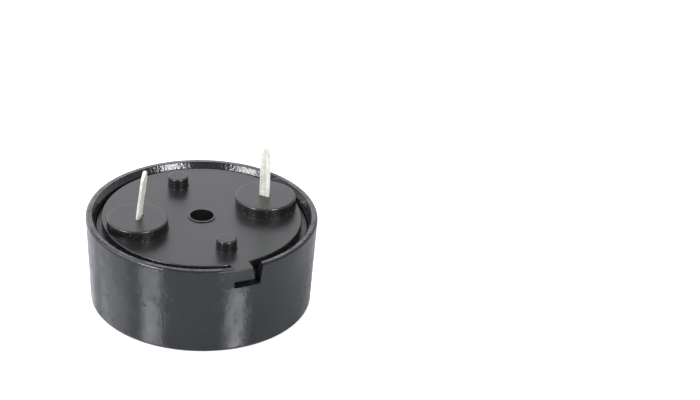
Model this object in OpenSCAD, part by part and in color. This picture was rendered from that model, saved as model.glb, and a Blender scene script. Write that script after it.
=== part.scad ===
// Round through-hole piezo sounder: a black moulded cup with a sound hole in its face, a piezo
// diaphragm inside, and a moulded base plate that carries two flat sprung terminals.
// The origin is the centre of the sound face. +Z runs from the sound face to the pins, +X runs
// along the line through both pins, and the key notch is near -Y. Millimetres and degrees.

/* [Housing] */
// Outer diameter at the rim, at the pin end
rim_d = 17; // [16.6:0.1:22]
// Height from the sound face to the rim
housing_h = 6.9; // [6.2:0.1:10]
// Draft of the moulded wall, in degrees
draft = 3.2; // [0.5:0.1:4]
// Thickness of the wall, measured level
wall_t = 0.7; // [0.5:0.01:0.9]
// Thickness of the sound face
face_t = 0.8; // [0.6:0.05:1.2]
// Rounding of the sound face's outer edge
face_edge_r = 0.3; // [0.1:0.05:0.5]
// Rounding of the rim's outer edge
rim_edge_r = 0.18; // [0.04:0.02:0.2]
// Depth of the small upright step inside the rim
rim_step_h = 0.05; // [0.03:0.01:0.1]
// Width of the sloped lead-in between that step and the inner wall
lead_in_w = 0.26; // [0.1:0.01:0.28]
// Height of the lead-in
lead_in_h = 0.36; // [0.2:0.01:0.4]

/* [Sound hole] */
// Diameter of the sound hole
hole_d = 3; // [1.5:0.1:4]
// Rounding where the sound hole meets its recess
hole_edge_r = 0.1; // [0.04:0.02:0.16]
// Diameter of the shallow recess round the sound hole
recess_d = 4.7; // [4.4:0.1:6]
// Depth of the shallow recess
recess_depth = 0.15; // [0.05:0.01:0.25]

/* [Diaphragm] */
// Diameter of the brass plate
brass_d = 14.2; // [13.6:0.1:14.4]
// Thickness of the brass plate
brass_t = 0.1; // [0.08:0.01:0.2]
// Bare margin of brass round the piezo ceramic disc
brass_margin = 1.85; // [1.7:0.05:2.6]
// Thickness of the piezo ceramic disc
ceramic_t = 0.12; // [0.1:0.01:0.2]
// Bare margin of ceramic round the silver electrode
electrode_margin = 0.5; // [0.2:0.05:0.8]
// Thickness of the fired silver electrode
electrode_t = 0.02; // [0.01:0.005:0.03]
// Height of the air space between the sound face and the diaphragm seat
front_chamber_h = 1.4; // [1:0.05:2]
// Width of the seat that carries the brass plate
seat_w = 0.65; // [0.4:0.05:0.9]
// Thickness of the silicone bead under the brass plate
bead_t = 0.08; // [0.04:0.01:0.15]
// Width of the silicone bead
bead_w = 0.5; // [0.3:0.05:0.6]
// Clearance round the brass plate
brass_clearance = 0.1; // [0.05:0.01:0.15]
// Height from the diaphragm seat to the shoulder that the base plate stands on
shoulder_h = 0.6; // [0.5:0.05:0.8]

/* [Base plate] */
// Diameter of the raised disc
disc_d = 14.64; // [14.2:0.02:14.9]
// How far the raised disc lies below the rim
disc_drop = 0.18; // [0:0.01:0.3]
// Height of the raised disc above the flange round it
disc_step_h = 0.68; // [0.3:0.01:0.8]
// Thickness of the flange
flange_t = 0.8; // [0.6:0.05:1]
// Thickness of the skirt that stands on the housing's shoulder
skirt_t = 0.6; // [0.4:0.05:0.8]
// Clearance between the base plate and the housing
plate_clearance = 0.06; // [0.03:0.01:0.15]
// Rounding of the raised disc's edge
disc_edge_r = 0.08; // [0.03:0.01:0.12]
// Height of the bosses and pegs above the raised disc
standoff_h = 0.82; // [0.5:0.01:1.5]
// Diameter of a pin boss
boss_d = 4.46; // [3.6:0.02:4.8]
// Diameter of a stand-off peg
peg_d = 1.5; // [1:0.02:2]
// Distance between the two bosses' centres
boss_pitch = 10; // [9.9:0.05:10.2]
// Distance between the two pegs' centres
peg_pitch = 9.9; // [9:0.1:11]
// Rounding of the bosses' and pegs' top edges
standoff_edge_r = 0.12; // [0.04:0.01:0.2]
// Diameter of the vent hole
vent_d = 1.74; // [1:0.02:2.4]
// Width of the raised lip round the vent hole
vent_lip_w = 0.14; // [0.08:0.01:0.3]
// Height of the raised lip round the vent hole
vent_lip_h = 0.06; // [0.04:0.01:0.2]

/* [Key] */
// Distance from the centre line to the notch's tight side, towards -X
notch_side = 0.72; // [0.3:0.02:1.2]
// Width of the notch at its floor
notch_w = 2.02; // [1.9:0.02:3]
// Flare of the notch's open side, in degrees
notch_flare = 7; // [0:0.5:12]
// Depth of the notch below the rim
notch_depth = 1.53; // [1.2:0.01:1.7]
// Width of the base plate's lug at its foot
lug_w = 1.58; // [1:0.02:1.8]
// Taper of the lug's open side, in degrees
lug_taper = 10; // [0:0.5:12]
// How far the lug's top lies below the rim
lug_drop = 0.1; // [0:0.01:0.2]
// Thickness of the lug
lug_t = 0.95; // [0.7:0.01:1]
// How far the lug's outer face lies inside the housing's wall
lug_inset = 0.08; // [0.02:0.01:0.2]
// Chamfer on the lug's outer top edge
lug_chamfer = 0.1; // [0.04:0.01:0.2]
// Width of the groove between the raised disc and the lug
lug_groove_w = 0.05; // [0.03:0.01:0.1]
// Depth of that groove below the raised disc
lug_groove_h = 0.12; // [0.05:0.01:0.2]
// Clearance at the lug's tight side
key_clearance = 0.03; // [0.02:0.01:0.1]

/* [Terminals] */
// Distance between the two pins' centres
pin_pitch = 9.82; // [9.7:0.02:10.2]
// Length of a pin above its boss
pin_len = 3.9; // [2.5:0.1:8]
// Width of the terminal strip at the pin
pin_w = 0.78; // [0.5:0.02:0.9]
// Thickness of the terminal strip
strip_t = 0.21; // [0.19:0.01:0.3]
// Rounding of a pin's long edges
pin_edge_r = 0.09; // [0.03:0.01:0.09]
// Width of a pin's round-ended tip
tip_w = 0.38; // [0.2:0.02:0.45]
// Length of a pin's tapered tip
tip_len = 0.8; // [0.3:0.05:1]
// Angle between a terminal's flat side and the pin line
strip_turn = 46; // [42:0.5:50]
// Lean of the pin of the brass plate's terminal
plate_pin_lean = 6.9; // [0:0.1:8]
// Lean of the pin of the electrode's terminal
electrode_pin_lean = 1.2; // [0:0.1:8]
// Clearance between a terminal and its slot
slot_clearance = 0.02; // [0.01:0.01:0.05]
// Clearance in the pocket at the slot's mouth, on the side that the pin leans to
pocket_clearance = 0.14; // [0.1:0.01:0.2]
// Depth of the pocket at the slot's mouth
pocket_depth = 0.35; // [0.2:0.05:0.6]
// Width of a terminal's spring arm
arm_w = 1; // [0.8:0.05:1.2]
// Reach of the arm that presses on the electrode
electrode_reach = 3; // [2:0.1:3.6]
// Inner radius of the bends in an arm
arm_bend_r = 0.3; // [0.2:0.05:0.4]
// Length of the upturned toe at an arm's end
toe_len = 0.4; // [0.3:0.05:0.6]
// Rise of the toe, in degrees
toe_rise = 30; // [15:1:45]
// Clearance under an arm's heel
heel_clearance = 0.02; // [0.01:0.005:0.03]

/* [Hidden] */
$fn = 96;

overcut = 0.5;                                     // how far a cut runs past the face it leaves
arc_steps = 6;                                     // straight steps in a small rounded corner
flat_margin = 0.005;                               // how far a rounding's flats clear the strip's

rim_r = rim_d / 2;
hole_r = hole_d / 2;
disc_r = disc_d / 2;
brass_r = brass_d / 2;
ceramic_r = brass_r - brass_margin;

seat_z = face_t + front_chamber_h;                 // where the silicone bead lies
brass_z = seat_z + bead_t;
ceramic_z = brass_z + brass_t;
electrode_z = ceramic_z + ceramic_t;
electrode_top_z = electrode_z + electrode_t;
shoulder_z = seat_z + shoulder_h;                  // where the base plate's skirt stands
brass_recess_r = brass_r + brass_clearance;
seat_inner_r = brass_r - seat_w;

disc_z = housing_h - disc_drop;                    // top of the raised disc
flange_z = disc_z - disc_step_h;                   // top of the flange
plate_under_z = flange_z - flange_t;
standoff_z = disc_z + standoff_h;                  // the plane that meets a circuit board
notch_z = housing_h - notch_depth;
lug_top_z = housing_h - lug_drop;
lug_z = lug_top_z - lug_t;

// One arm leads outwards to the middle of the bare brass, the other inwards to the electrode
brass_arm_angle = 90 + strip_turn;
electrode_arm_angle = 270 - strip_turn;
plate_reach = reach_to((ceramic_r + seat_inner_r) / 2, brass_arm_angle);

// Radius of the housing's outer and inner wall at height z
function outer_r(z) = rim_r - (housing_h - z) * tan(draft);
function inner_r(z) = outer_r(z) - wall_t;
// Radius of the base plate's outer side at height z, where it follows the housing's wall
function plate_r(z) = inner_r(z) - plate_clearance;

// Points of an arc about centre c, from angle a0 to angle a1, which is one point if they agree
function arc(c, r, a0, a1) =
    let (steps = a0 == a1 ? 0 : arc_steps)
    [for (i = [0 : steps]) let (a = a0 + (a1 - a0) * i / arc_steps) c + r * [cos(a), sin(a)]];

function reversed(list) = [for (i = [len(list) - 1 : -1 : 0]) list[i]];

// Distance from the pin on -X to the circle of radius r, measured the way an arm leads
function reach_to(r, angle) =
    let (p = pin_pitch / 2) p * cos(angle) + sqrt(pow(r, 2) - pow(p * sin(angle), 2));

// Housing: one moulding. The profile runs up the outer wall, over the rim and its step, down
// the lead-in and the inner wall to the shoulder, the seat and the inside of the sound face.
face_corner_c = [outer_r(0) - face_edge_r * (1 - sin(draft)) / cos(draft), face_edge_r];
rim_corner_c = [rim_r - rim_edge_r * (1 + sin(draft)) / cos(draft), housing_h - rim_edge_r];
lead_in_z = housing_h - rim_step_h - lead_in_h;
step_r = inner_r(lead_in_z) + lead_in_w;
function housing_profile() = concat(
    arc([hole_r + hole_edge_r, recess_depth + hole_edge_r], hole_edge_r, 180, 270),
    [[recess_d / 2, recess_depth], [recess_d / 2, 0]],
    arc(face_corner_c, face_edge_r, -90, -draft),
    arc(rim_corner_c, rim_edge_r, -draft, 90),
    [[step_r, housing_h], [step_r, housing_h - rim_step_h], [inner_r(lead_in_z), lead_in_z],
     [inner_r(shoulder_z), shoulder_z], [brass_recess_r, shoulder_z],
     [brass_recess_r, seat_z], [seat_inner_r, seat_z],
     [seat_inner_r, face_t], [hole_r, face_t]]);

// The notch seen from -Y: straight on its tight side, flared on its open side
function notch_outline() =
    let (top = housing_h + overcut, flare = (top - notch_z) * tan(notch_flare))
    [[-notch_side, notch_z], [notch_w - notch_side, notch_z],
     [notch_w - notch_side + flare, top], [-notch_side, top]];

module housing() {
    color("#2b2c2e")
    difference() {
        rotate_extrude() polygon(housing_profile());
        rotate([90, 0, 0]) linear_extrude(height = rim_r + overcut) polygon(notch_outline());
    }
}

// Solid of the base plate without its slots and vent: disc, flange and skirt in one profile
function plate_profile() = concat(
    [[0, disc_z]],
    reversed(arc([disc_r - disc_edge_r, disc_z - disc_edge_r], disc_edge_r, 0, 90)),
    [[disc_r, flange_z], [plate_r(flange_z), flange_z], [plate_r(shoulder_z), shoulder_z],
     [plate_r(shoulder_z) - skirt_t, shoulder_z], [plate_r(shoulder_z) - skirt_t, plate_under_z],
     [0, plate_under_z]]);

// Round stand-off with a rounded top edge, sunk a little into the disc to fuse with it
module standoff(d) {
    edge_c = [d / 2, standoff_z] - standoff_edge_r * [1, 1];
    rotate_extrude()
        polygon(concat([[0, disc_z - disc_edge_r], [d / 2, disc_z - disc_edge_r]],
                       arc(edge_c, standoff_edge_r, 0, 90), [[0, standoff_z]]));
}

// The lug seen from -Y: it fills the tight side of the notch and tapers on the open side
function lug_outline() =
    let (x = key_clearance - notch_side, taper = lug_t * tan(lug_taper))
    [[x, lug_z], [x + lug_w, lug_z], [x + lug_w - taper, lug_top_z], [x, lug_top_z]];

// Section of the lug through the axis: rooted in the disc and flange, with a groove on top
function lug_section() =
    let (root_r = disc_r - lug_groove_h, out_r = outer_r(lug_z) - lug_inset)
    let (groove_r = disc_r + lug_groove_w, groove_z = disc_z - lug_groove_h)
    [[root_r, lug_z], [out_r, lug_z], [out_r, lug_top_z - lug_chamfer],
     [out_r - lug_chamfer, lug_top_z], [groove_r, lug_top_z], [groove_r, groove_z],
     [root_r, groove_z]];

module lug() {
    intersection() {
        rotate_extrude() polygon(lug_section());
        rotate([90, 0, 0]) linear_extrude(height = rim_r) polygon(lug_outline());
    }
}

// Slot for one terminal: tight all the way through, with a pocket at its mouth that gives the
// pin room to lean
module terminal_slot(angle) {
    tight = [strip_t, pin_w] + 2 * slot_clearance * [1, 1];
    rotate([0, 0, angle]) {
        translate([0, 0, plate_under_z - overcut])
            linear_extrude(height = standoff_z - plate_under_z + 2 * overcut)
                square(tight, center = true);
        translate([-strip_t / 2 - pocket_clearance, -tight.y / 2, standoff_z - pocket_depth])
            cube([strip_t / 2 + pocket_clearance, tight.y, pocket_depth + overcut]);
    }
}

module base_plate() {
    color("#2f3032")
    difference() {
        union() {
            rotate_extrude() polygon(plate_profile());
            for (side = [-1, 1]) {
                translate([side * boss_pitch / 2, 0, 0]) standoff(boss_d);
                translate([0, side * peg_pitch / 2, 0]) standoff(peg_d);
            }
            translate([0, 0, disc_z - disc_edge_r])
                cylinder(h = disc_edge_r + vent_lip_h, d = vent_d + 2 * vent_lip_w);
            lug();
        }
        translate([0, 0, plate_under_z - overcut])
            cylinder(h = disc_z - plate_under_z + 2 * overcut, d = vent_d);
        translate([-pin_pitch / 2, 0, 0]) terminal_slot(brass_arm_angle);
        translate([pin_pitch / 2, 0, 0]) terminal_slot(electrode_arm_angle);
    }
}

// Silicone bead that holds the brass plate on its seat
module seat_bead() {
    color("#c9ccc8")
    translate([0, 0, seat_z])
        difference() {
            cylinder(h = bead_t, r = seat_inner_r + seat_w);
            translate([0, 0, -overcut])
                cylinder(h = bead_t + 2 * overcut, r = seat_inner_r + seat_w - bead_w);
        }
}

module brass_plate() {
    color("#c9a24a") translate([0, 0, brass_z]) cylinder(h = brass_t, r = brass_r);
}

module piezo_disc() {
    color("#8d8a78") translate([0, 0, ceramic_z]) cylinder(h = ceramic_t, r = ceramic_r);
}

module silver_electrode() {
    color("#d5d6d4")
    translate([0, 0, electrode_z]) cylinder(h = electrode_t, r = ceramic_r - electrode_margin);
}

// Where a pin's straight part starts, in the plane of its lean
function pin_start(lean) =
    let (r = arm_bend_r + strip_t / 2)
    [-r, standoff_z - pocket_depth / 2] + r * [cos(lean), sin(lean)];

// One side of an arm seen from its edge, at distance d from its centre line: x is the way it
// leads, y is the height. It runs round the bend, along the slope to the heel that presses on
// the diaphragm, and up the toe. An arm shorter than its bends has tighter ones.
function arm_side(reach, contact_z, d) =
    let (r = min(arm_bend_r + strip_t / 2, reach), bend_c = [r, plate_under_z - r])
    let (heel_c = [reach, contact_z + heel_clearance + strip_t / 2 + r])
    let (slope = atan2(heel_c.y - bend_c.y, heel_c.x - bend_c.x))
    let (heel = arc(heel_c, r - d, slope - 90, toe_rise - 90))
    concat(arc(bend_c, r - d, 180, 270 + slope), heel,
           [heel[arc_steps] + toe_len * [cos(toe_rise), sin(toe_rise)]]);

// The same side of a whole terminal, from the pin's tip down through the slot to the arm, which
// leads backwards where its reach is below 0
function terminal_side(lean, reach, contact_z, d) =
    let (r = arm_bend_r + strip_t / 2, pin = arc(pin_start(0) - [r, 0], r + d, lean, 0))
    let (way = reach < 0 ? -1 : 1)
    concat([pin[0] + (pin_len + pocket_depth / 2) * [-sin(lean), cos(lean)]], pin,
           [for (p = arm_side(way * reach, contact_z, way * d)) [way * p.x, p.y]]);

// Outline of the flattened blank: a wide arm, a shoulder under the plate, and a pin that tapers
// to a round end
function blank_outline() =
    let (tip_z = standoff_z + pin_len, shoulder = plate_under_z - slot_clearance)
    let (tip_c = [0, tip_z - tip_w / 2])
    concat([[-arm_w / 2, 0], [arm_w / 2, 0], [arm_w / 2, shoulder], [pin_w / 2, shoulder],
            [pin_w / 2, tip_z - tip_len]],
           arc(tip_c, tip_w / 2, 0, 90), arc(tip_c, tip_w / 2, 105, 180),
           [[-pin_w / 2, tip_z - tip_len], [-pin_w / 2, shoulder], [-arm_w / 2, shoulder]]);

// Section that rounds a pin's long edges: only its corners cut into the strip
function pin_section() =
    let (c = [strip_t, pin_w] / 2 + (flat_margin - pin_edge_r) * [1, 1])
    concat(arc(c, pin_edge_r, 0, 90), arc([-c.x, c.y], pin_edge_r, 90, 180),
           arc(-c, pin_edge_r, 180, 270), arc([c.x, -c.y], pin_edge_r, 270, 360));

module terminal(lean, reach, contact_z, angle) {
    edge_on = concat(terminal_side(lean, reach, contact_z, strip_t / 2),
                     reversed(terminal_side(lean, reach, contact_z, -strip_t / 2)));
    start = pin_start(lean);
    rotate([0, 0, angle])
        intersection() {
            rotate([90, 0, 0]) linear_extrude(height = arm_w, center = true) polygon(edge_on);
            rotate([90, 0, 90]) linear_extrude(height = rim_d, center = true)
                polygon(blank_outline());
            union() {
                translate([-rim_r, -rim_r, 0]) cube([rim_d, rim_d, start.y]);
                translate([start.x, 0, start.y]) rotate([0, -lean, 0])
                    translate([0, 0, -pin_edge_r])
                        linear_extrude(height = pin_len + overcut) polygon(pin_section());
            }
        }
}

module plate_terminal() {
    color("#c8c6bf")
    translate([-pin_pitch / 2, 0, 0])
        terminal(plate_pin_lean, plate_reach, ceramic_z, brass_arm_angle);
}

module electrode_terminal() {
    color("#c8c6bf")
    translate([pin_pitch / 2, 0, 0])
        terminal(electrode_pin_lean, electrode_reach, electrode_top_z, electrode_arm_angle);
}

housing();
base_plate();
seat_bead();
brass_plate();
piezo_disc();
silver_electrode();
plate_terminal();
electrode_terminal();
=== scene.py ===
"""Looks, light and camera for a round piezo buzzer that stands on its sound face with its pins up.

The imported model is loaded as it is. This script gives every moulded, stamped and fired piece the finish
that its making leaves on it, adds the small fillets at the feet of the stand-offs, and sets up a
table-top studio.
"""

import logging
import math
from dataclasses import dataclass, field
from enum import Enum

import bpy
from mathutils import Matrix, Vector


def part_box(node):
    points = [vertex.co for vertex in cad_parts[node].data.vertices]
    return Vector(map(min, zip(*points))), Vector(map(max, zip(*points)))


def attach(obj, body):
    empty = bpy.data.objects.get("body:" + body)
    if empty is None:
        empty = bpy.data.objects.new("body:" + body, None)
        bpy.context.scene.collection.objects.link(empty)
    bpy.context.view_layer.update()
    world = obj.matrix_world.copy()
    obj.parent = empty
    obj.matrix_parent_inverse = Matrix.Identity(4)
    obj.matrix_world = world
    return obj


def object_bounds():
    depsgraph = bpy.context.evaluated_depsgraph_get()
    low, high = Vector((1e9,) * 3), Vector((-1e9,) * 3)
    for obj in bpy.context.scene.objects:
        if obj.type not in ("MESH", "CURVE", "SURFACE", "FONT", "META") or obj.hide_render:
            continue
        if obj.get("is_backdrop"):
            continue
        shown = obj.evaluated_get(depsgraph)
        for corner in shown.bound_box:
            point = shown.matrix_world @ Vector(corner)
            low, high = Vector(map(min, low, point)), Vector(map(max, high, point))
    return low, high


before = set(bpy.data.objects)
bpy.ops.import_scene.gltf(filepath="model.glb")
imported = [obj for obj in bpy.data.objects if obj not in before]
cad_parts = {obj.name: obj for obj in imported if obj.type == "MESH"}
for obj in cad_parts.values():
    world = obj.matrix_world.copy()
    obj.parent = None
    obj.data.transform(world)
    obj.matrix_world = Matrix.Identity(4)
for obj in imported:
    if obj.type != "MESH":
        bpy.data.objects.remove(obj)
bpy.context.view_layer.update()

MM = 0.001

log = logging.getLogger("buzzer")


class Slot(Enum):
    """The record's material slots."""

    HOUSING = "housing_plastic"
    BASE = "base_plastic"
    STRIP = "tinned_strip"
    BRASS = "brass"
    CERAMIC = "piezo_ceramic"
    SILVER = "silver"
    SILICONE = "silicone"


class Lay(Enum):
    """The direction that a sheet was rolled in, as the stretch of its grain along x, y and z."""

    ALONG_X = (0.04, 1.0, 1.0)
    ALONG_Z = (1.0, 1.0, 0.03)


# ---------------------------------------------------------------------------------------------------
# Helpers
# ---------------------------------------------------------------------------------------------------


def linear(hex_colour: str) -> tuple[float, float, float, float]:
    """Turns an sRGB hex colour to the linear colour that a shader takes.

    Args:
        hex_colour: six hex digits after a hash sign.

    Returns:
        Red, green and blue as linear values, and an alpha of 1.
    """
    parts = [int(hex_colour[i : i + 2], 16) / 255 for i in (1, 3, 5)]
    red, green, blue = (
        p / 12.92 if p <= 0.04045 else ((p + 0.055) / 1.055) ** 2.4 for p in parts
    )
    return red, green, blue, 1.0


def per_metre(size_mm: float) -> float:
    """Returns the texture scale at which one feature of a pattern is size_mm across."""
    return 1.0 / (size_mm * MM)


def middle_and_reach(limits_mm: tuple[float, float]) -> tuple[float, float]:
    """Returns the middle of a range, and how far the range reaches to each side of it, in metres."""
    low, high = limits_mm
    return (low + high) / 2 * MM, (high - low) / 2 * MM


def bearing(azimuth: float, elevation: float) -> Vector:
    """Returns the unit vector that points from the object to a place in the studio.

    Args:
        azimuth: the turn from -Y towards +X, in degrees.
        elevation: the rise above the table, in degrees.

    Returns:
        The vector.
    """
    turn, rise = math.radians(azimuth), math.radians(elevation)
    return Vector(
        (
            math.sin(turn) * math.cos(rise),
            -math.cos(turn) * math.cos(rise),
            math.sin(rise),
        )
    )


def add_node(
    tree: bpy.types.NodeTree, kind: str, inputs: dict | None = None, **settings: object
) -> bpy.types.Node:
    """Adds a node, with its settings, its input values and the links to its inputs.

    Args:
        tree: the tree that the node goes in.
        kind: the node's type name.
        inputs: a value, or the socket to link from, for each input's name or number.
        settings: the node's own properties.

    Returns:
        The new node.
    """
    node = tree.nodes.new(kind)
    for name, value in settings.items():
        setattr(node, name, value)
    for key, value in (inputs or {}).items():
        if isinstance(value, bpy.types.NodeSocket):
            tree.links.new(value, node.inputs[key])
        else:
            node.inputs[key].default_value = value
    return node


def new_material(name: str) -> tuple[bpy.types.Material, bpy.types.NodeTree]:
    """Makes an empty node material.

    Args:
        name: the material's name.

    Returns:
        The material and its cleared node tree.
    """
    material = bpy.data.materials.new(name)
    material.use_nodes = True
    material.node_tree.nodes.clear()
    return material, material.node_tree


def distance_from_axis(
    tree: bpy.types.NodeTree, place: bpy.types.NodeSocket
) -> bpy.types.NodeSocket:
    """Adds the nodes that measure how far a point of the surface lies from the buzzer's axis.

    Args:
        tree: the tree that the nodes go in.
        place: the point.

    Returns:
        A socket with the distance, in metres.
    """
    flat = add_node(
        tree,
        "ShaderNodeVectorMath",
        {0: place, 1: (1.0, 1.0, 0.0)},
        operation="MULTIPLY",
    ).outputs[0]
    return add_node(
        tree, "ShaderNodeVectorMath", {0: flat}, operation="LENGTH"
    ).outputs["Value"]


def strength_by_ray(
    tree: bpy.types.NodeTree,
    lighting: float,
    mirrored: bpy.types.NodeSocket,
    straight: float,
) -> bpy.types.NodeSocket:
    """Adds the nodes that give a background one strength as light and others where it is seen.

    Args:
        tree: the tree that the nodes go in.
        lighting: the strength with which it lights the object.
        mirrored: its strength in a gloss or through a clear material.
        straight: its strength to the camera.

    Returns:
        A socket with the strength for the kind of ray at hand.
    """
    path = add_node(tree, "ShaderNodeLightPath").outputs
    glossy = add_node(
        tree,
        "ShaderNodeMath",
        {0: path["Is Glossy Ray"], 1: path["Is Transmission Ray"]},
        operation="MAXIMUM",
    ).outputs[0]
    reflected = add_node(
        tree,
        "ShaderNodeMapRange",
        {"Value": glossy, "To Min": lighting, "To Max": mirrored},
    ).outputs[0]
    return add_node(
        tree,
        "ShaderNodeMapRange",
        {"Value": path["Is Camera Ray"], "To Min": reflected, "To Max": straight},
    ).outputs[0]


# ---------------------------------------------------------------------------------------------------
# Finishes
#
# A field that ends in _span is the range of a pattern's value over which its effect grows from none to
# full. One that ends in _gain is what the lightest and the strongest place of a pattern multiply by.
# ---------------------------------------------------------------------------------------------------


@dataclass(frozen=True)
class MouldedHousingPlastic:
    """Black PBT polyester, injection moulded.

    The wall came off a smooth drafted cavity, so it has a satin gloss that draws lamps out into upright
    bands. It sank a little as it cooled, its skin is faintly pitted and handling has dulled it in
    patches, so the bands waver, are speckled and come and go. The inside came off a turned core, whose
    coarser skin breaks lamps into flecks. The sound face came off a spark-eroded insert, so it is grainy
    and even in tone. Beside the notch the wall was rubbed dull when the plate's lug was pushed in.
    """

    name: str = "pbt_black_satin_moulded"
    colour: str = "#191b1e"
    flow_colour: str = "#1e2023"
    ior: float = 1.55
    wall_roughness: tuple[float, float] = (0.1, 0.36)
    core_roughness: float = 0.13
    face_roughness: float = 0.52
    rubbed_roughness: float = 0.5
    # The real skin's grain is about 0.02 mm. It is drawn ten times coarser, so that it shows.
    grain_mm: float = 0.2
    wall_grain_depth_mm: float = 0.013
    core_grain_depth_mm: float = 0.03
    face_grain_depth_mm: float = 0.02
    handled_mm: float = 0.7
    handled_span: tuple[float, float] = (0.35, 0.8)
    flow_mm: float = 1.6
    sink_mm: float = 2.4
    sink_depth_mm: float = 0.06
    core_radius_mm: float = 8.05
    face_height_mm: float = 0.03
    rubbed_x_mm: tuple[float, float] = (-1.5, -0.6)
    rubbed_z_mm: float = 5.4

    def build(self) -> bpy.types.Material:
        """Makes the housing's material.

        Returns:
            The finished material.
        """
        material, tree = new_material(self.name)
        place = add_node(tree, "ShaderNodeTexCoord").outputs["Object"]
        split = add_node(tree, "ShaderNodeSeparateXYZ", {"Vector": place})
        radius = distance_from_axis(tree, place)
        core = add_node(
            tree,
            "ShaderNodeMath",
            {0: radius, 1: self.core_radius_mm * MM},
            operation="LESS_THAN",
        ).outputs[0]
        face = add_node(
            tree,
            "ShaderNodeMath",
            {0: split.outputs["Z"], 1: self.face_height_mm * MM},
            operation="LESS_THAN",
        ).outputs[0]
        flow = add_node(
            tree,
            "ShaderNodeTexNoise",
            {"Vector": place, "Scale": per_metre(self.flow_mm), "Detail": 3.0},
        ).outputs["Fac"]
        grain = add_node(
            tree,
            "ShaderNodeTexNoise",
            {"Vector": place, "Scale": per_metre(self.grain_mm), "Detail": 2.0},
        ).outputs["Fac"]
        handled = add_node(
            tree,
            "ShaderNodeTexNoise",
            {"Vector": place, "Scale": per_metre(self.handled_mm), "Detail": 3.0},
        ).outputs["Fac"]
        colour = add_node(
            tree,
            "ShaderNodeMix",
            {0: flow, 6: linear(self.colour), 7: linear(self.flow_colour)},
            data_type="RGBA",
        ).outputs[2]
        middle, reach = middle_and_reach(self.rubbed_x_mm)
        across = add_node(
            tree,
            "ShaderNodeMath",
            {0: split.outputs["X"], 1: middle, 2: reach},
            operation="COMPARE",
        ).outputs[0]
        high = add_node(
            tree,
            "ShaderNodeMath",
            {0: split.outputs["Z"], 1: self.rubbed_z_mm * MM},
            operation="GREATER_THAN",
        ).outputs[0]
        near = add_node(
            tree, "ShaderNodeMath", {0: split.outputs["Y"], 1: 0.0}, operation="LESS_THAN"
        ).outputs[0]
        strip = add_node(
            tree, "ShaderNodeMath", {0: across, 1: high}, operation="MULTIPLY"
        ).outputs[0]
        rubbed = add_node(
            tree, "ShaderNodeMath", {0: strip, 1: near}, operation="MULTIPLY"
        ).outputs[0]
        wall = add_node(
            tree,
            "ShaderNodeMapRange",
            {
                "Value": handled,
                "From Min": self.handled_span[0],
                "From Max": self.handled_span[1],
                "To Min": self.wall_roughness[0],
                "To Max": self.wall_roughness[1],
            },
        ).outputs[0]
        outside = add_node(
            tree, "ShaderNodeMix", {0: rubbed, 2: wall, 3: self.rubbed_roughness}
        ).outputs[0]
        satin = add_node(
            tree, "ShaderNodeMix", {0: core, 2: outside, 3: self.core_roughness}
        ).outputs[0]
        rough = add_node(
            tree, "ShaderNodeMix", {0: face, 2: satin, 3: self.face_roughness}
        ).outputs[0]
        skin = add_node(
            tree,
            "ShaderNodeMix",
            {
                0: core,
                2: self.wall_grain_depth_mm * MM,
                3: self.core_grain_depth_mm * MM,
            },
        ).outputs[0]
        pitted = add_node(
            tree,
            "ShaderNodeMix",
            {0: face, 2: skin, 3: self.face_grain_depth_mm * MM},
        ).outputs[0]
        sinks = add_node(
            tree,
            "ShaderNodeTexNoise",
            {"Vector": place, "Scale": per_metre(self.sink_mm), "Detail": 1.0},
        ).outputs["Fac"]
        sunk = add_node(
            tree,
            "ShaderNodeBump",
            {"Strength": 1.0, "Distance": self.sink_depth_mm * MM, "Height": sinks},
        ).outputs[0]
        bump = add_node(
            tree,
            "ShaderNodeBump",
            {"Strength": 1.0, "Distance": pitted, "Height": grain, "Normal": sunk},
        ).outputs[0]
        shader = add_node(
            tree,
            "ShaderNodeBsdfPrincipled",
            {
                "Base Color": colour,
                "Roughness": rough,
                "IOR": self.ior,
                "Normal": bump,
            },
        )
        add_node(tree, "ShaderNodeOutputMaterial", {"Surface": shader.outputs[0]})
        return material


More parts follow.
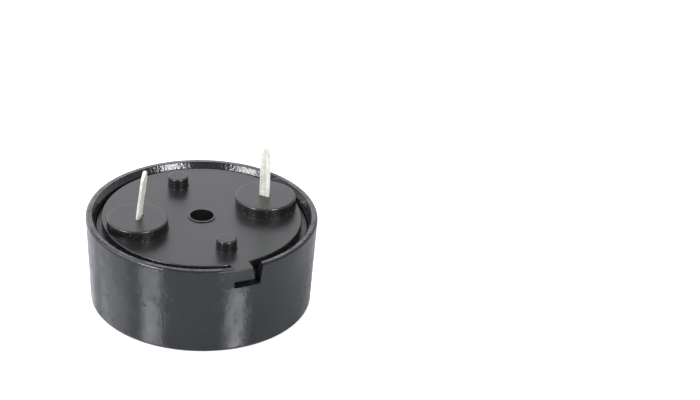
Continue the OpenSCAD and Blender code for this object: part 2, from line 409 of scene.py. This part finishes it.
@dataclass(frozen=True)
class MouldedBasePlastic:
    """Black PBT polyester, injection moulded against an evenly blasted plate.

    The blasted steel leaves a fine matt grain that turns the mirror image of a lamp into one even grey.
    The sides of the stand-offs stay smoother because they had to slide out of their pockets, which left
    pale scuffs on them, and the key lug outside them is the dullest. The pale flecks on those sides are
    partly scuffs and partly painted glints, standing in for light caught by their rough moulded feet.
    """

    name: str = "pbt_black_blasted_moulded"
    colour: str = "#191a1b"
    dust_colour: str = "#1e1f20"
    # Pale flecks on the stand-offs' sides: partly scuffs, partly painted glints of light on their rough
    # feet.
    scuff_and_glint_colour: str = "#484b47"
    ior: float = 1.55
    top_roughness: float = 0.36
    side_roughness: float = 0.24
    lug_roughness: float = 0.5
    lug_radius_mm: float = 7.5
    # The real blasted grain is about 0.01 mm. It is drawn nine times coarser, so that it shows.
    grain_mm: float = 0.09
    grain_depth_mm: float = 0.004
    mottle_mm: float = 0.9
    mottle_gain: tuple[float, float] = (0.92, 1.08)
    scuff_and_glint_mm: float = 0.28
    scuff_and_glint_span: tuple[float, float] = (0.58, 0.7)
    scuff_and_glint_radii_mm: tuple[float, float] = (1.2, 7.4)
    # The upright part of a face's normal: below the first it is a side, above the second a top.
    upright_span: tuple[float, float] = (0.6, 0.95)

    def build(self) -> bpy.types.Material:
        """Makes the base plate's material.

        Returns:
            The finished material.
        """
        material, tree = new_material(self.name)
        place = add_node(tree, "ShaderNodeTexCoord").outputs["Object"]
        normal = add_node(tree, "ShaderNodeNewGeometry").outputs["Normal"]
        upright = add_node(tree, "ShaderNodeSeparateXYZ", {"Vector": normal}).outputs["Z"]
        upward = add_node(
            tree,
            "ShaderNodeMapRange",
            {
                "Value": upright,
                "From Min": self.upright_span[0],
                "From Max": self.upright_span[1],
            },
        ).outputs[0]
        mottle = add_node(
            tree,
            "ShaderNodeTexNoise",
            {"Vector": place, "Scale": per_metre(self.mottle_mm), "Detail": 3.0},
        ).outputs["Fac"]
        grain = add_node(
            tree,
            "ShaderNodeTexNoise",
            {"Vector": place, "Scale": per_metre(self.grain_mm), "Detail": 2.0},
        ).outputs["Fac"]
        radius = distance_from_axis(tree, place)
        clean = add_node(
            tree,
            "ShaderNodeMix",
            {0: mottle, 6: linear(self.colour), 7: linear(self.dust_colour)},
            data_type="RGBA",
        ).outputs[2]
        middle, reach = middle_and_reach(self.scuff_and_glint_radii_mm)
        among_standoffs = add_node(
            tree,
            "ShaderNodeMath",
            {0: radius, 1: middle, 2: reach},
            operation="COMPARE",
        ).outputs[0]
        standing = add_node(
            tree,
            "ShaderNodeMath",
            {0: among_standoffs, 1: upward},
            operation="SUBTRACT",
            use_clamp=True,
        ).outputs[0]
        scuff_and_glint_noise = add_node(
            tree,
            "ShaderNodeTexNoise",
            {"Vector": place, "Scale": per_metre(self.scuff_and_glint_mm), "Detail": 4.0},
        ).outputs["Fac"]
        scuff_and_glint_mask = add_node(
            tree,
            "ShaderNodeMapRange",
            {
                "Value": scuff_and_glint_noise,
                "From Min": self.scuff_and_glint_span[0],
                "From Max": self.scuff_and_glint_span[1],
            },
        ).outputs[0]
        # Painted glints: the pale flecks on the stand-offs' sides are partly scuffs and partly stand in for
        # light caught on them.
        scuffed_and_glinting = add_node(
            tree, "ShaderNodeMath", {0: scuff_and_glint_mask, 1: standing}, operation="MULTIPLY"
        ).outputs[0]
        colour = add_node(
            tree,
            "ShaderNodeMix",
            {0: scuffed_and_glinting, 6: clean, 7: linear(self.scuff_and_glint_colour)},
            data_type="RGBA",
        ).outputs[2]
        lug = add_node(
            tree,
            "ShaderNodeMath",
            {0: radius, 1: self.lug_radius_mm * MM},
            operation="GREATER_THAN",
        ).outputs[0]
        side = add_node(
            tree,
            "ShaderNodeMix",
            {0: lug, 2: self.side_roughness, 3: self.lug_roughness},
        ).outputs[0]
        made = add_node(
            tree, "ShaderNodeMix", {0: upward, 2: side, 3: self.top_roughness}
        ).outputs[0]
        uneven = add_node(
            tree,
            "ShaderNodeMapRange",
            {
                "Value": mottle,
                "To Min": self.mottle_gain[0],
                "To Max": self.mottle_gain[1],
            },
        ).outputs[0]
        rough = add_node(
            tree, "ShaderNodeMath", {0: made, 1: uneven}, operation="MULTIPLY"
        ).outputs[0]
        bump = add_node(
            tree,
            "ShaderNodeBump",
            {
                "Strength": 0.8,
                "Distance": self.grain_depth_mm * MM,
                "Height": grain,
            },
        ).outputs[0]
        shader = add_node(
            tree,
            "ShaderNodeBsdfPrincipled",
            {
                "Base Color": colour,
                "Roughness": rough,
                "IOR": self.ior,
                "Normal": bump,
            },
        )
        add_node(tree, "ShaderNodeOutputMaterial", {"Surface": shader.outputs[0]})
        return material


@dataclass(frozen=True)
class RolledMetal:
    """A rolled metal sheet, stamped to shape and plated or left bare.

    The rolls leave fine lines along the sheet, which stretch each highlight across them, and broader
    dull streaks the same way. Handling leaves soft duller patches.
    """

    name: str
    colour: str
    dull_colour: str
    roughness: float
    lay: Lay
    line_mm: float
    line_depth_mm: float
    streak_mm: float
    patch_mm: float
    line_gain: tuple[float, float] = (0.75, 1.25)
    # The sum of the streaks and the patches: below the first the metal is clean, above the second dull.
    dull_span: tuple[float, float] = (0.75, 1.25)

    def build(self) -> bpy.types.Material:
        """Makes the metal's material.

        Returns:
            The finished material.
        """
        material, tree = new_material(self.name)
        place = add_node(tree, "ShaderNodeTexCoord").outputs["Object"]
        stretched = add_node(
            tree, "ShaderNodeMapping", {"Vector": place, "Scale": self.lay.value}
        ).outputs[0]
        lines = add_node(
            tree,
            "ShaderNodeTexNoise",
            {"Vector": stretched, "Scale": per_metre(self.line_mm), "Detail": 2.0},
        ).outputs["Fac"]
        streaks = add_node(
            tree,
            "ShaderNodeTexNoise",
            {"Vector": stretched, "Scale": per_metre(self.streak_mm), "Detail": 2.0},
        ).outputs["Fac"]
        patches = add_node(
            tree,
            "ShaderNodeTexNoise",
            {"Vector": place, "Scale": per_metre(self.patch_mm), "Detail": 4.0},
        ).outputs["Fac"]
        worn = add_node(
            tree, "ShaderNodeMath", {0: patches, 1: streaks}, operation="ADD"
        ).outputs[0]
        dull = add_node(
            tree,
            "ShaderNodeMapRange",
            {
                "Value": worn,
                "From Min": self.dull_span[0],
                "From Max": self.dull_span[1],
            },
        ).outputs[0]
        colour = add_node(
            tree,
            "ShaderNodeMix",
            {0: dull, 6: linear(self.colour), 7: linear(self.dull_colour)},
            data_type="RGBA",
        ).outputs[2]
        rough = add_node(
            tree,
            "ShaderNodeMapRange",
            {
                "Value": lines,
                "To Min": self.roughness * self.line_gain[0],
                "To Max": self.roughness * self.line_gain[1],
            },
        ).outputs[0]
        bump = add_node(
            tree,
            "ShaderNodeBump",
            {"Strength": 0.7, "Distance": self.line_depth_mm * MM, "Height": lines},
        ).outputs[0]
        shader = add_node(
            tree,
            "ShaderNodeBsdfPrincipled",
            {
                "Base Color": colour,
                "Metallic": 1.0,
                "Roughness": rough,
                "Normal": bump,
            },
        )
        add_node(tree, "ShaderNodeOutputMaterial", {"Surface": shader.outputs[0]})
        return material


@dataclass(frozen=True)
class LacqueredBoard:
    """Chipboard faced with white melamine and lacquered over it.

    The board keeps the object's shadow. Its lacquer mirrors the lamps, is wiped to a gloss round the
    object and turns cloudy further out. Its own glow is only seen straight and in a gloss, so it never
    lights the object. The glow seen in a gloss is dimmer near the object, which is painted shade standing
    in for the object's shadow on the table.
    """

    name: str = "melamine_white_lacquered"
    colour: str = "#dbdde3"
    roughness: float = 0.06
    ior: float = 1.65
    lacquer_roughness: float = 0.06
    lacquer_ior: float = 1.85
    # How far from the middle the wiped gloss begins to fade and where it ends, and its share at each.
    wiped_mm: tuple[float, float] = (8.0, 17.0)
    wiped_weight: tuple[float, float] = (1.0, 0.35)
    cloud_mm: float = 4.0
    cloud_span: tuple[float, float] = (0.3, 0.7)
    cloud_change: tuple[float, float] = (-0.3, 0.3)
    glow: float = 0.72
    # The glow that a gloss mirrors: the first near the object, the second from further out. The weaker glow
    # near the object is painted shade of the object on the table.
    mirrored_shade_mm: tuple[float, float] = (18.0, 40.0)
    mirrored_glow_and_painted_shade: tuple[float, float] = (0.06, 0.3)

    def build(self) -> bpy.types.Material:
        """Makes the board's material.

        Returns:
            The finished material.
        """
        material, tree = new_material(self.name)
        spot = add_node(tree, "ShaderNodeTexCoord").outputs["Object"]
        away = add_node(
            tree, "ShaderNodeVectorMath", {0: spot}, operation="LENGTH"
        ).outputs["Value"]
        clouds = add_node(
            tree,
            "ShaderNodeTexNoise",
            {"Vector": spot, "Scale": per_metre(self.cloud_mm), "Detail": 2.0},
        ).outputs["Fac"]
        cloud = add_node(
            tree,
            "ShaderNodeMapRange",
            {
                "Value": clouds,
                "From Min": self.cloud_span[0],
                "From Max": self.cloud_span[1],
                "To Min": self.cloud_change[0],
                "To Max": self.cloud_change[1],
            },
        ).outputs[0]
        wiped = add_node(
            tree,
            "ShaderNodeMapRange",
            {
                "Value": away,
                "From Min": self.wiped_mm[0] * MM,
                "From Max": self.wiped_mm[1] * MM,
                "To Min": self.wiped_weight[0],
                "To Max": self.wiped_weight[1],
            },
        ).outputs[0]
        lacquer = add_node(
            tree,
            "ShaderNodeMath",
            {0: wiped, 1: cloud},
            operation="ADD",
            use_clamp=True,
        ).outputs[0]
        board = add_node(
            tree,
            "ShaderNodeBsdfPrincipled",
            {
                "Base Color": linear(self.colour),
                "Roughness": self.roughness,
                "IOR": self.ior,
                "Coat Weight": lacquer,
                "Coat Roughness": self.lacquer_roughness,
                "Coat IOR": self.lacquer_ior,
            },
        )
        # Painted shade: the glow seen in a gloss is dimmer near the object, standing in for its shadow on
        # the table.
        mirrored = add_node(
            tree,
            "ShaderNodeMapRange",
            {
                "Value": away,
                "From Min": self.mirrored_shade_mm[0] * MM,
                "From Max": self.mirrored_shade_mm[1] * MM,
                "To Min": self.mirrored_glow_and_painted_shade[0],
                "To Max": self.mirrored_glow_and_painted_shade[1],
            },
        ).outputs[0]
        glow = add_node(
            tree,
            "ShaderNodeEmission",
            {"Strength": strength_by_ray(tree, 0.0, mirrored, straight=self.glow)},
        )
        both = add_node(
            tree, "ShaderNodeAddShader", {0: board.outputs[0], 1: glow.outputs[0]}
        )
        add_node(tree, "ShaderNodeOutputMaterial", {"Surface": both.outputs[0]})
        return material


@dataclass(frozen=True)
class GranularFilm:
    """A surface of fine grains: a sintered ceramic, a fired silver paste or a cast silicone.

    The grains scatter light evenly, so the surface reads as matt with a faint speckle.
    """

    name: str
    colour: str
    fleck_colour: str
    metallic: float
    roughness: float
    ior: float
    grain_mm: float
    grain_depth_mm: float

    def build(self) -> bpy.types.Material:
        """Makes the film's material.

        Returns:
            The finished material.
        """
        material, tree = new_material(self.name)
        place = add_node(tree, "ShaderNodeTexCoord").outputs["Object"]
        grains = add_node(
            tree,
            "ShaderNodeTexVoronoi",
            {"Vector": place, "Scale": per_metre(self.grain_mm)},
        ).outputs["Distance"]
        colour = add_node(
            tree,
            "ShaderNodeMix",
            {0: grains, 6: linear(self.colour), 7: linear(self.fleck_colour)},
            data_type="RGBA",
        ).outputs[2]
        bump = add_node(
            tree,
            "ShaderNodeBump",
            {"Strength": 0.6, "Distance": self.grain_depth_mm * MM, "Height": grains},
        ).outputs[0]
        shader = add_node(
            tree,
            "ShaderNodeBsdfPrincipled",
            {
                "Base Color": colour,
                "Metallic": self.metallic,
                "Roughness": self.roughness,
                "IOR": self.ior,
                "Normal": bump,
            },
        )
        add_node(tree, "ShaderNodeOutputMaterial", {"Surface": shader.outputs[0]})
        return material


HOUSING_PLASTIC = MouldedHousingPlastic()
BASE_PLASTIC = MouldedBasePlastic()
LACQUERED_BOARD = LacqueredBoard()
# Tin over phosphor bronze strip, plated matt: a warm white metal that spreads each lamp softly, with
# fine lines along the pin.
TIN_PLATED_STRIP = RolledMetal(
    name="tin_plated_bronze_strip",
    colour="#fbfcf6",
    dull_colour="#dadbd0",
    roughness=0.82,
    lay=Lay.ALONG_Z,
    # Real rolling lines are about 0.01 mm apart. They are drawn six times coarser, so that they show.
    line_mm=0.06,
    line_depth_mm=0.002,
    streak_mm=0.22,
    patch_mm=0.5,
)
# Half-hard brass sheet, left as rolled: yellow, with a slightly browner film where it has aged.
ROLLED_BRASS = RolledMetal(
    name="brass_sheet_as_rolled",
    colour="#d9b975",
    dull_colour="#b99557",
    roughness=0.26,
    lay=Lay.ALONG_X,
    # As on the strip, the real lines are about 0.01 mm apart. These are drawn eight times coarser.
    line_mm=0.08,
    line_depth_mm=0.002,
    streak_mm=0.6,
    patch_mm=2.5,
)
# Lead zirconate titanate, pressed and sintered: dense, matt, brownish grey.
SINTERED_CERAMIC = GranularFilm(
    name="pzt_ceramic_sintered",
    colour="#8f8874",
    fleck_colour="#a39c88",
    metallic=0.0,
    roughness=0.62,
    ior=2.3,
    grain_mm=0.08,
    grain_depth_mm=0.003,
)
# Silver paste, screen printed and fired: a white metal with a frosted face.
FIRED_SILVER = GranularFilm(
    name="silver_paste_fired",
    colour="#dcdad4",
    fleck_colour="#cfccc4",
    metallic=1.0,
    roughness=0.48,
    ior=1.5,
    grain_mm=0.07,
    grain_depth_mm=0.004,
)
# Silicone sealant, laid as a bead and cured: smooth, milky grey and a little wet-looking.
CURED_SILICONE = GranularFilm(
    name="silicone_bead_cured",
    colour="#b9bab6",
    fleck_colour="#c4c5c2",
    metallic=0.0,
    roughness=0.28,
    ior=1.41,
    grain_mm=0.5,
    grain_depth_mm=0.002,
)


# ---------------------------------------------------------------------------------------------------
# Sub-assemblies
# ---------------------------------------------------------------------------------------------------


def dress_node(node: str, slot: Slot, material: bpy.types.Material) -> None:
    """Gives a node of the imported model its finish.

    Args:
        node: the node's name.
        slot: the slot that the record gives the node.
        material: the finish for all of the node.
    """
    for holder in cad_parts[node].material_slots:
        holder.material = material
    log.info("%s: %s dressed as %s", node, slot.value, material.name)


class SubAssembly:
    """A group of pieces that are made and finished together."""

    def build(self) -> list[bpy.types.Object]:
        """Adds no piece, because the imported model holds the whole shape."""
        return []

    def dress(self) -> None:
        """Gives the pieces their finishes."""
        raise NotImplementedError


@dataclass
class Housing(SubAssembly):
    """The moulded cup with the sound hole in its face."""

    finish: MouldedHousingPlastic = HOUSING_PLASTIC

    def dress(self) -> None:
        """Gives the cup its moulded finish."""
        dress_node("housing", Slot.HOUSING, self.finish.build())


@dataclass
class BasePlate(SubAssembly):
    """The moulded plate that closes the housing, with two bosses and two pegs that stand it off a board."""

    standoff_height: float = 0.82 * MM
    boss_diameter: float = 4.46 * MM
    boss_pitch: float = 10.0 * MM
    peg_diameter: float = 1.5 * MM
    peg_pitch: float = 9.9 * MM
    fillet_radius: float = 0.07 * MM
    # How deep the ring's hidden corner lies in the plastic, as a share of the fillet's radius.
    buried_share: float = 0.4
    fillet_steps: int = 5
    around: int = 96
    finish: MouldedBasePlastic = BASE_PLASTIC
    material: bpy.types.Material | None = field(default=None, init=False)

    def fillet_tree(self) -> bpy.types.GeometryNodeTree:
        """Builds the tree that runs a concave fillet round the feet of two bosses and two pegs.

        Returns:
            The tree, with named inputs for its sizes and its material.
        """
        tree = bpy.data.node_groups.new("standoff_fillets", "GeometryNodeTree")
        face = tree.interface
        face.new_socket("Geometry", in_out="INPUT", socket_type="NodeSocketGeometry")
        for name in (
            "Boss Diameter",
            "Boss Pitch",
            "Peg Diameter",
            "Peg Pitch",
            "Fillet Radius",
            "Plane Height",
        ):
            face.new_socket(name, in_out="INPUT", socket_type="NodeSocketFloat")
        face.new_socket("Steps", in_out="INPUT", socket_type="NodeSocketInt")
        face.new_socket("Around", in_out="INPUT", socket_type="NodeSocketInt")
        face.new_socket("Material", in_out="INPUT", socket_type="NodeSocketMaterial")
        face.new_socket("Geometry", in_out="OUTPUT", socket_type="NodeSocketGeometry")
        given = add_node(tree, "NodeGroupInput").outputs

        # The profile: point 0 is the hidden corner in the plastic, and the rest lie on the concave arc.
        radius = given["Fillet Radius"]
        index = add_node(tree, "GeometryNodeInputIndex").outputs[0]
        turn = index
        for operation, number in (
            ("SUBTRACT", 1.0),
            ("DIVIDE", given["Steps"]),
            ("MULTIPLY", math.pi / 2),
        ):
            turn = add_node(
                tree, "ShaderNodeMath", {0: turn, 1: number}, operation=operation
            ).outputs[0]
        reaches = []
        for wave in ("COSINE", "SINE"):
            part = add_node(tree, "ShaderNodeMath", {0: turn}, operation=wave).outputs[0]
            left = add_node(
                tree, "ShaderNodeMath", {0: 1.0, 1: part}, operation="SUBTRACT"
            ).outputs[0]
            reaches.append(
                add_node(
                    tree, "ShaderNodeMath", {0: radius, 1: left}, operation="MULTIPLY"
                ).outputs[0]
            )
        out, up = reaches
        hidden = add_node(
            tree,
            "ShaderNodeMath",
            {0: radius, 1: -self.buried_share},
            operation="MULTIPLY",
        ).outputs[0]
        corner = add_node(
            tree, "ShaderNodeCombineXYZ", {"X": hidden, "Y": hidden}
        ).outputs[0]
        arc = add_node(tree, "ShaderNodeCombineXYZ", {"X": out, "Y": up}).outputs[0]
        on_arc = add_node(
            tree, "ShaderNodeMath", {0: index, 1: 0.5}, operation="GREATER_THAN"
        ).outputs[0]
        where = add_node(
            tree, "ShaderNodeMix", {0: on_arc, 4: corner, 5: arc}, data_type="VECTOR"
        ).outputs[1]
        count = add_node(
            tree, "ShaderNodeMath", {0: given["Steps"], 1: 2.0}, operation="ADD"
        ).outputs[0]
        row = add_node(tree, "GeometryNodeMeshLine", {"Count": count})
        bent = add_node(
            tree,
            "GeometryNodeSetPosition",
            {"Geometry": row.outputs[0], "Position": where},
        ).outputs[0]
        open_profile = add_node(tree, "GeometryNodeMeshToCurve", {"Mesh": bent}).outputs[0]
        profile = add_node(
            tree,
            "GeometryNodeSetSplineCyclic",
            {"Geometry": open_profile, "Cyclic": True},
        ).outputs[0]

        # One ring for each size of stand-off, set down at both places of its pair.
        pairs = []
        for size, pitch, axis in (
            ("Boss Diameter", "Boss Pitch", "X"),
            ("Peg Diameter", "Peg Pitch", "Y"),
        ):
            foot = add_node(
                tree, "ShaderNodeMath", {0: given[size], 1: 0.5}, operation="MULTIPLY"
            ).outputs[0]
            path = add_node(
                tree,
                "GeometryNodeCurvePrimitiveCircle",
                {"Resolution": given["Around"], "Radius": foot},
            ).outputs[0]
            ring = add_node(
                tree, "GeometryNodeCurveToMesh", {"Curve": path, "Profile Curve": profile}
            ).outputs[0]
            half = add_node(
                tree, "ShaderNodeMath", {0: given[pitch], 1: -0.5}, operation="MULTIPLY"
            ).outputs[0]
            start = add_node(
                tree,
                "ShaderNodeCombineXYZ",
                {axis: half, "Z": given["Plane Height"]},
            ).outputs[0]
            step = add_node(
                tree, "ShaderNodeCombineXYZ", {axis: given[pitch]}
            ).outputs[0]
            feet = add_node(
                tree,
                "GeometryNodeMeshLine",
                {"Count": 2, "Start Location": start, "Offset": step},
            ).outputs[0]
            pairs.append(
                add_node(
                    tree,
                    "GeometryNodeInstanceOnPoints",
                    {"Points": feet, "Instance": ring},
                ).outputs[0]
            )
        joined = add_node(tree, "GeometryNodeJoinGeometry")
        for pair in pairs:
            tree.links.new(pair, joined.inputs[0])
        solid = add_node(
            tree, "GeometryNodeRealizeInstances", {"Geometry": joined.outputs[0]}
        ).outputs[0]
        smooth = add_node(
            tree, "GeometryNodeSetShadeSmooth", {"Geometry": solid}
        ).outputs[0]
        done = add_node(
            tree,
            "GeometryNodeSetMaterial",
            {"Geometry": smooth, "Material": given["Material"]},
        ).outputs[0]
        add_node(tree, "NodeGroupOutput", {0: done})
        return tree

    def build(self) -> list[bpy.types.Object]:
        """Builds the fillets at the feet of the stand-offs.

        Returns:
            The one new piece, which holds all four fillets.
        """
        self.material = self.finish.build()
        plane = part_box("base_plate")[1].z - self.standoff_height
        piece = plain_mesh_from_tree(
            "standoff_fillets",
            self.fillet_tree(),
            {
                "Boss Diameter": self.boss_diameter,
                "Boss Pitch": self.boss_pitch,
                "Peg Diameter": self.peg_diameter,
                "Peg Pitch": self.peg_pitch,
                "Fillet Radius": self.fillet_radius,
                "Plane Height": plane,
                "Steps": self.fillet_steps,
                "Around": self.around,
                "Material": self.material,
            },
        )
        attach(piece, "root")
        log.info("%s: %d faces", piece.name, len(piece.data.polygons))
        return [piece]

    def dress(self) -> None:
        """Gives the plate the same finish as its fillets."""
        dress_node("base_plate", Slot.BASE, self.material)


def plain_mesh_from_tree(
    name: str, tree: bpy.types.GeometryNodeTree, sizes: dict[str, object]
) -> bpy.types.Object:
    """Runs a geometry tree once and keeps its result as a plain mesh object.

    Args:
        name: the new object's name.
        tree: the tree to run.
        sizes: a value for each of the tree's named inputs.

    Returns:
        The object, with no modifier on it.
    """
    holder = bpy.data.objects.new(name + "_maker", bpy.data.meshes.new(name + "_seed"))
    bpy.context.scene.collection.objects.link(holder)
    modifier = holder.modifiers.new("maker", "NODES")
    modifier.node_group = tree
    for item in tree.interface.items_tree:
        if item.in_out == "INPUT" and item.name in sizes:
            modifier[item.identifier] = sizes[item.name]
    graph = bpy.context.evaluated_depsgraph_get()
    mesh = bpy.data.meshes.new_from_object(holder.evaluated_get(graph))
    mesh.name = name
    holder.modifiers.remove(modifier)
    bpy.data.objects.remove(holder)
    piece = bpy.data.objects.new(name, mesh)
    bpy.context.scene.collection.objects.link(piece)
    return piece


@dataclass
class Terminals(SubAssembly):
    """The two stamped strips: a solder pin outside and a sprung arm inside."""

    finish: RolledMetal = TIN_PLATED_STRIP

    def dress(self) -> None:
        """Gives both strips one plated finish."""
        material = self.finish.build()
        for node in ("plate_terminal", "electrode_terminal"):
            dress_node(node, Slot.STRIP, material)


@dataclass
class Diaphragm(SubAssembly):
    """The brass plate on its silicone bead, with the ceramic disc and its silver layer."""

    layers: tuple[tuple[str, Slot, RolledMetal | GranularFilm], ...] = (
        ("brass_plate", Slot.BRASS, ROLLED_BRASS),
        ("piezo_disc", Slot.CERAMIC, SINTERED_CERAMIC),
        ("silver_electrode", Slot.SILVER, FIRED_SILVER),
        ("seat_bead", Slot.SILICONE, CURED_SILICONE),
    )

    def dress(self) -> None:
        """Gives each layer its own finish."""
        for node, slot, finish in self.layers:
            dress_node(node, slot, finish.build())


# ---------------------------------------------------------------------------------------------------
# Studio
# ---------------------------------------------------------------------------------------------------


@dataclass(frozen=True)
class Softbox:
    """A flat soft lamp that faces the object.

    Azimuth 0 is the camera's side, and grows towards the camera's right hand.
    """

    name: str
    azimuth: float
    elevation: float
    width: float
    height: float
    radiance: float
    distance: float = 0.40
    colour: str = "#f9faff"

    def place(self, camera_azimuth: float, aim: Vector) -> None:
        """Sets the lamp up, with the power that gives its face its radiance.

        Args:
            camera_azimuth: the camera's own azimuth, in degrees.
            aim: the point that the lamp faces.
        """
        out = bearing(camera_azimuth + self.azimuth, self.elevation)
        data = bpy.data.lights.new(self.name, "AREA")
        data.shape = "RECTANGLE"
        data.size = self.width
        data.size_y = self.height
        data.energy = math.pi * self.width * self.height * self.radiance
        data.color = linear(self.colour)[:3]
        lamp = bpy.data.objects.new(self.name, data)
        lamp.location = aim + out * self.distance
        lamp.rotation_euler = out.to_track_quat("Z", "Y").to_euler()
        lamp.visible_camera = False
        bpy.context.scene.collection.objects.link(lamp)


@dataclass(frozen=True)
class StripLamp(Softbox):
    """A strong narrow lamp, a little whiter, that draws an upright band on a glossy wall."""

    colour: str = "#fcfdff"


@dataclass
class Studio:
    """A white lacquered table, soft lamps, plain walls and the camera.

    Angles are in degrees. The walls are white up to wall_top, and fade to the ceiling at ceiling_edge.
    """

    azimuth: float = -21.296
    elevation: float = 30.069
    distance: float = 220.2 * MM
    aim_height: float = 3.5 * MM
    lens: float = 153.42
    pan: float = 2.838
    tilt: float = 1.077
    roll: float = -0.812
    sensor_width: float = 36.0
    clip: tuple[float, float] = (0.005, 10.0)
    table_size: float = 2.4
    table_gap: float = 0.002 * MM
    table_finish: LacqueredBoard = LACQUERED_BOARD
    world_light: float = 0.12
    wall_mirrored: float = 0.9
    wall_top: float = 15.0
    ceiling_mirrored: float = 0.4
    ceiling_edge: float = 28.0
    lamps: tuple[Softbox, ...] = (
        Softbox("back_softbox", azimuth=-162, elevation=20, width=0.50, height=0.19, radiance=1.95),
        Softbox("key_softbox", azimuth=-105, elevation=48, width=0.26, height=0.26, radiance=3.6),
        StripLamp("left_strip", azimuth=-53, elevation=39, width=0.125, height=0.14, radiance=17.2),
        StripLamp("right_strip", azimuth=37, elevation=39, width=0.11, height=0.14, radiance=21.2),
    )

    def build_table(self) -> None:
        """Lays the table under the object."""
        half = self.table_size / 2
        corners = [(-half, -half, 0), (half, -half, 0), (half, half, 0), (-half, half, 0)]
        mesh = bpy.data.meshes.new("table")
        mesh.from_pydata(corners, [], [(0, 1, 2, 3)])
        mesh.materials.append(self.table_finish.build())
        table = bpy.data.objects.new("table", mesh)
        table.location.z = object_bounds()[0][2] - self.table_gap
        bpy.context.scene.collection.objects.link(table)
        table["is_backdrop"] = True

    def build_world(self) -> None:
        """Surrounds the table with an even white that lights weakly and shows as white."""
        world = bpy.data.worlds.new("studio_walls")
        world.use_nodes = True
        tree = world.node_tree
        tree.nodes.clear()
        ray = add_node(tree, "ShaderNodeTexCoord").outputs["Generated"]
        height = add_node(tree, "ShaderNodeSeparateXYZ", {"Vector": ray}).outputs["Z"]
        mirrored = add_node(
            tree,
            "ShaderNodeMapRange",
            {
                "Value": height,
                "From Min": math.sin(math.radians(self.wall_top)),
                "From Max": math.sin(math.radians(self.ceiling_edge)),
                "To Min": self.wall_mirrored,
                "To Max": self.ceiling_mirrored,
            },
        ).outputs[0]
        strength = strength_by_ray(tree, self.world_light, mirrored, straight=1.0)
        walls = add_node(
            tree, "ShaderNodeBackground", {"Color": (1, 1, 1, 1), "Strength": strength}
        )
        add_node(tree, "ShaderNodeOutputWorld", {"Surface": walls.outputs[0]})
        bpy.context.scene.world = world

    def build_lamps(self) -> None:
        """Sets up every lamp."""
        aim = Vector((0, 0, self.aim_height))
        for lamp in self.lamps:
            lamp.place(self.azimuth, aim)
            log.info("%s: radiance %.2f", lamp.name, lamp.radiance)

    def build_camera(self) -> None:
        """Sets up the camera, aimed a little off the object by its pan, tilt and roll."""
        back = bearing(self.azimuth, self.elevation)
        ahead = -back
        right = ahead.cross(Vector((0, 0, 1))).normalized()
        up = right.cross(ahead)
        for angle, about in ((-self.pan, "up"), (self.tilt, "right"), (self.roll, "ahead")):
            axis = {"up": up, "right": right, "ahead": ahead}[about]
            spin = Matrix.Rotation(math.radians(angle), 3, axis)
            ahead, right, up = spin @ ahead, spin @ right, spin @ up
        data = bpy.data.cameras.new("camera")
        data.lens = self.lens
        data.sensor_width = self.sensor_width
        data.clip_start, data.clip_end = self.clip
        camera = bpy.data.objects.new("camera", data)
        pose = Matrix((right, up, -ahead)).transposed().to_4x4()
        pose.translation = Vector((0, 0, self.aim_height)) + back * self.distance
        camera.matrix_world = pose
        bpy.context.scene.collection.objects.link(camera)
        bpy.context.scene.camera = camera

    def build(self) -> None:
        """Builds the whole studio."""
        self.build_table()
        self.build_world()
        self.build_lamps()
        self.build_camera()
        bpy.context.scene.view_settings.view_transform = "Standard"


def main() -> None:
    """Builds and dresses the buzzer, then sets up the studio round it."""
    logging.basicConfig(level=logging.INFO, format="%(name)s %(message)s")
    for assembly in (Housing(), BasePlate(), Terminals(), Diaphragm()):
        added = assembly.build()
        assembly.dress()
        log.info("%s: pieces added: %d", type(assembly).__name__, len(added))
    Studio().build()


if __name__ == "__main__":
    main()
